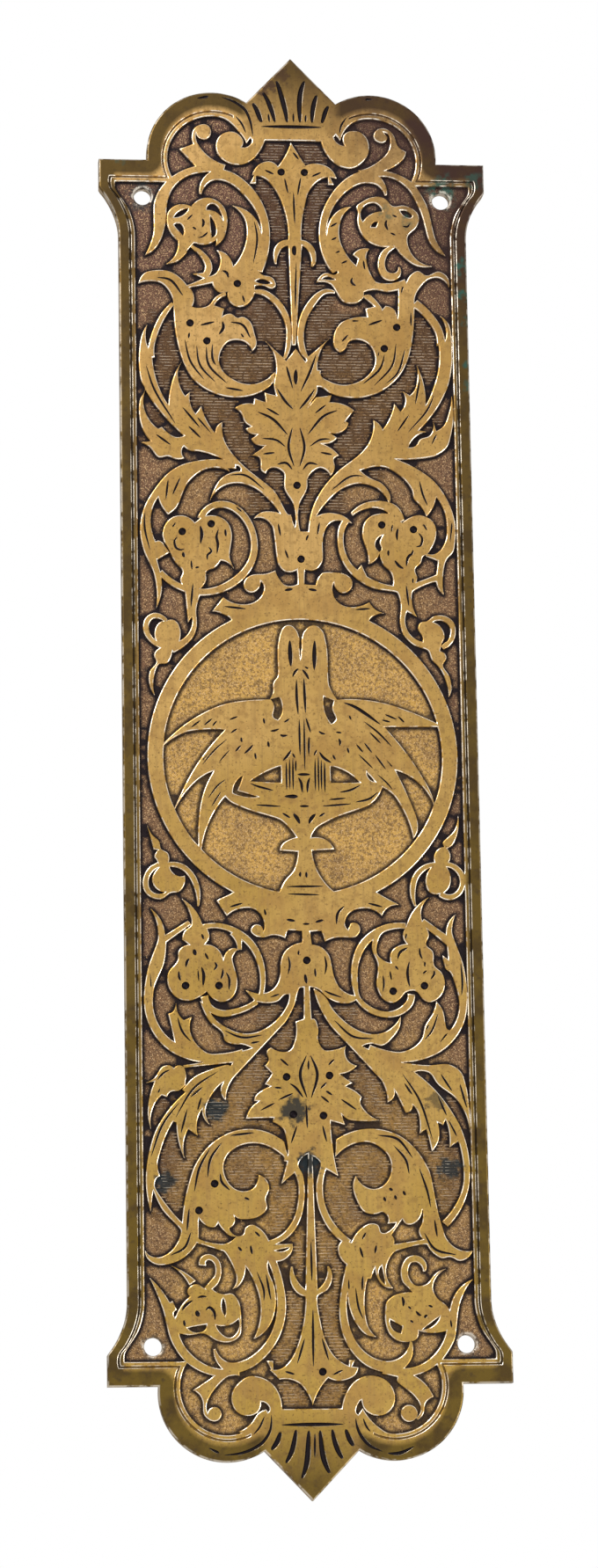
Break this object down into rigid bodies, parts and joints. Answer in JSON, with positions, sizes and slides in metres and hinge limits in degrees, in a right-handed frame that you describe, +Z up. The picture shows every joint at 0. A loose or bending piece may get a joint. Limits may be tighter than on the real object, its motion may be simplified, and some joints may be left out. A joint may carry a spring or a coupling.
{
  "type": "door finger plate",
  "caption": "Tall cast brass finger plate with ears, lobed and pointed ends and flat-relief scrolls, flowers and birds at a fountain, screwed to a door where hands push it.",
  "frame": {"origin": "centre of the flat back face, which lies on the door, midway between the screw holes", "axes": "+Z up along the plate, +Y into the door, so the ornamented front faces -Y"},
  "size_m": [0.096, 0.0036, 0.3556],
  "materials": {
    "aged_brass": "worn cast brass with dark patina in the sunk ground"
  },
  "bodies": {
    "root": {"finger_plate": "aged_brass"}
  },
  "joints": []
}
